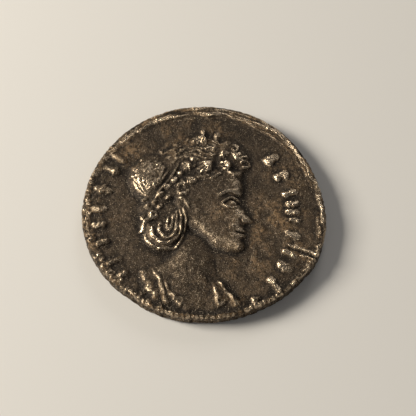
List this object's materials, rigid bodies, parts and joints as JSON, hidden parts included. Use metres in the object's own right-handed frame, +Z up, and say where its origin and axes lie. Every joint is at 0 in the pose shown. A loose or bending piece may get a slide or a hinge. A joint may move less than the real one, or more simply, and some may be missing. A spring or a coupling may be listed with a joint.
{
  "type": "roman bronze coin",
  "caption": "Worn struck bronze coin lying flat: a draped portrait bust with coiled hair on top, a standing figure below, beaded border and stroke marks.",
  "frame": {"origin": "under the middle of the coin, on the surface that it lies on", "axes": "+Z up, out of the portrait side; +Y towards the top of the portrait's head; +X the way the portrait faces"},
  "size_m": [0.026, 0.0258, 0.0025],
  "materials": {
    "bronze": "dark brown patinated bronze, worn bright on the high points, with orange-brown earth in the hollows"
  },
  "bodies": {
    "root": {"coin": "bronze"}
  },
  "joints": []
}
